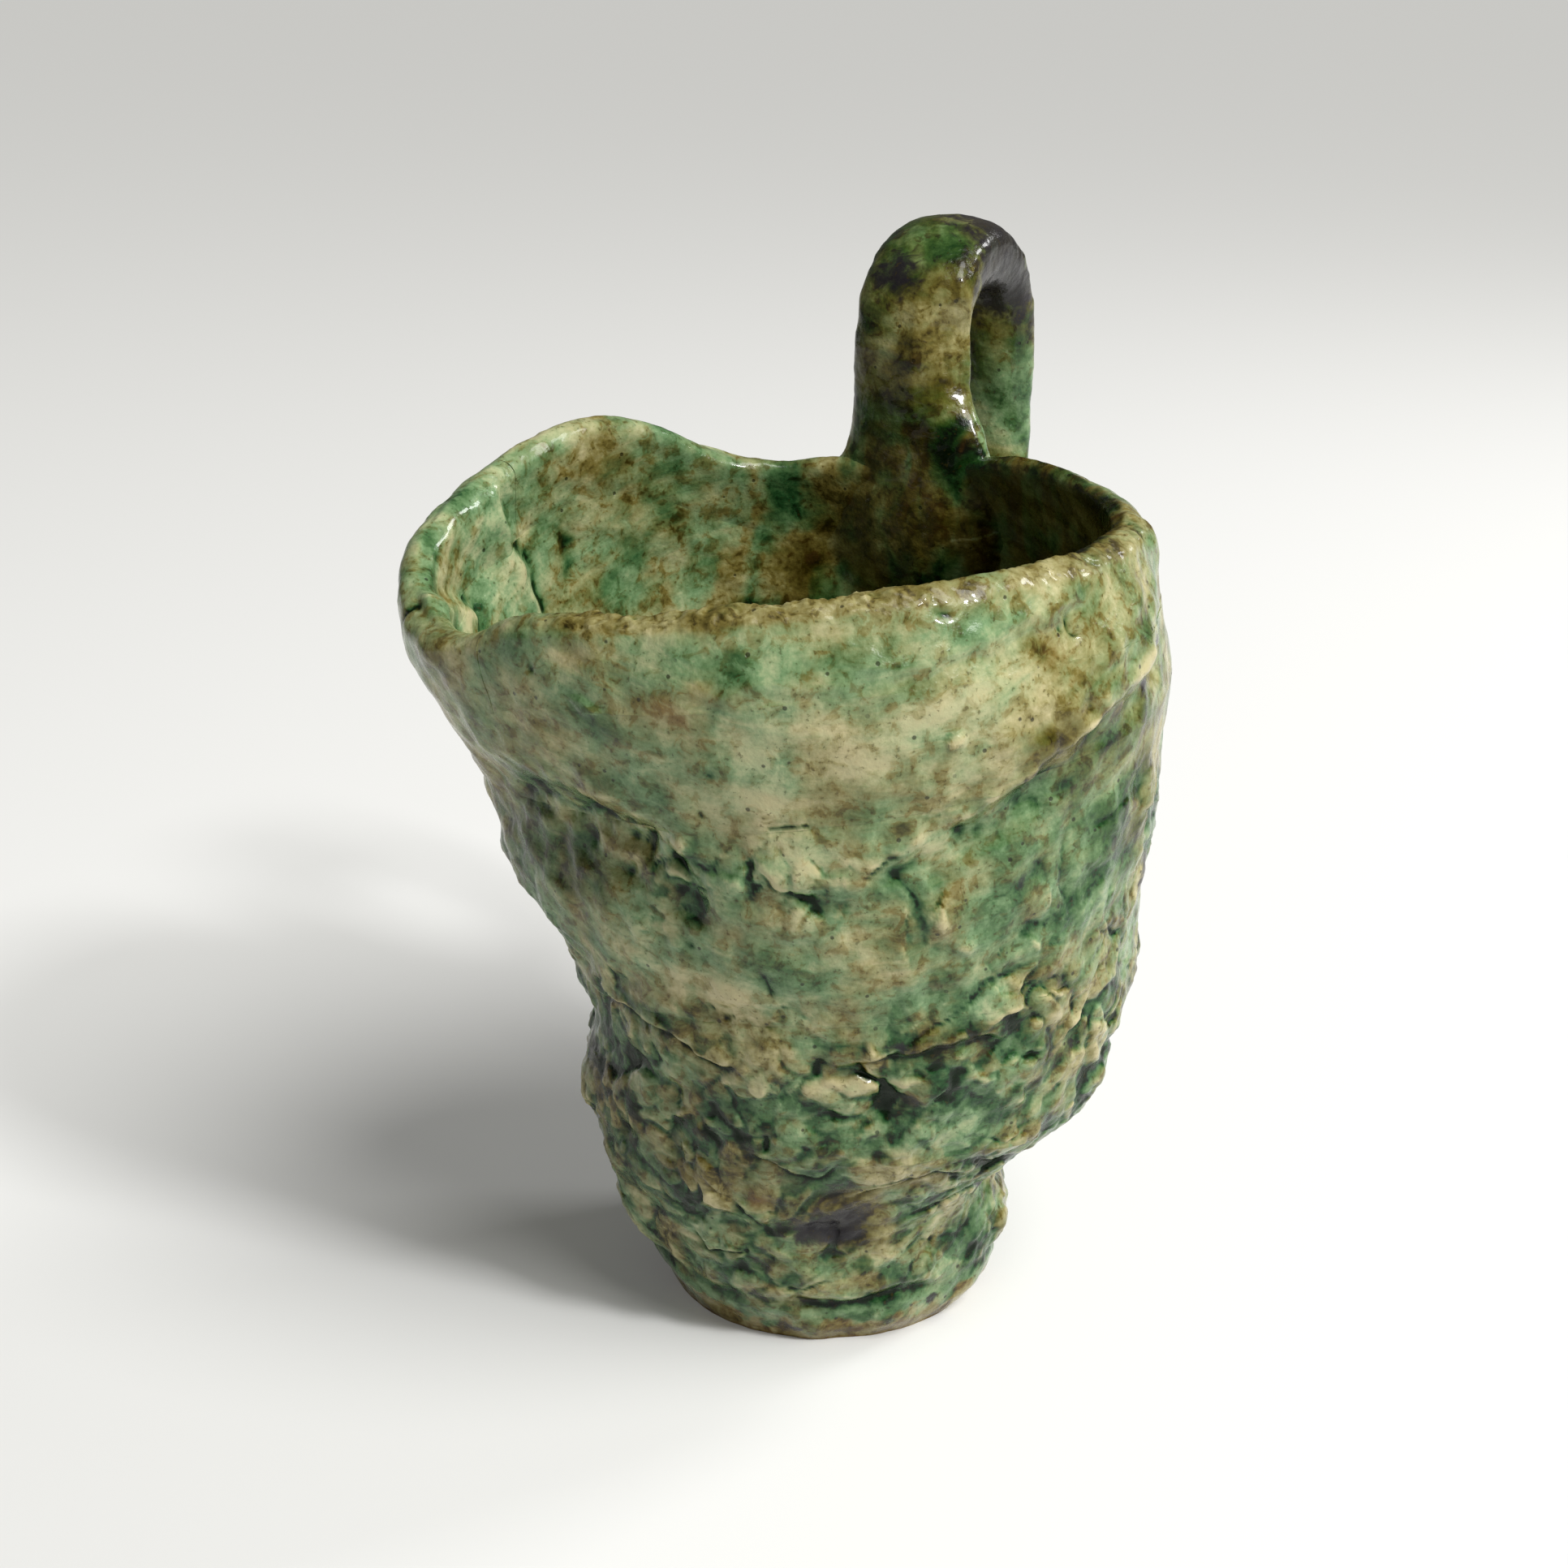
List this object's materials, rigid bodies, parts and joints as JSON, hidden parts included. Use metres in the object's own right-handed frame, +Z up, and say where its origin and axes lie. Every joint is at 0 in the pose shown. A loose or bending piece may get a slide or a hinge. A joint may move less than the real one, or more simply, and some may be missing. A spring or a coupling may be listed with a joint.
{
  "type": "pitcher",
  "caption": "Hand-built glazed clay pitcher: a leaning, coil-built body with a thick rolled rim, a folded pouring lip at one side and a strap handle looping above the back of the rim.",
  "frame": {"origin": "middle of the foot's flat underside, on the table", "axes": "+Z up out of the mouth; +Y to the back, where the handle is; +X to the right of the front, so the pouring lip is on the -X side"},
  "size_m": [0.1683, 0.1868, 0.2389],
  "materials": {
    "glaze_pale": "glossy, cream and pale green mottle",
    "glaze_green": "glossy, copper green pooled in the creases",
    "glaze_moss": "glossy, olive and tan, gritty on the edges",
    "glaze_dark": "glossy, olive brown with purple-black patches"
  },
  "bodies": {
    "root": {"foot_slab": "glaze_moss", "foot_course": "glaze_green", "lower_course": "glaze_green", "belly_course": "glaze_pale", "shoulder_course": "glaze_pale", "rim_coil": "glaze_moss", "pouring_lip": "glaze_green", "handle_strap": "glaze_dark", "handle_upper_pad": "glaze_moss", "handle_lower_pad": "glaze_moss"}
  },
  "joints": []
}
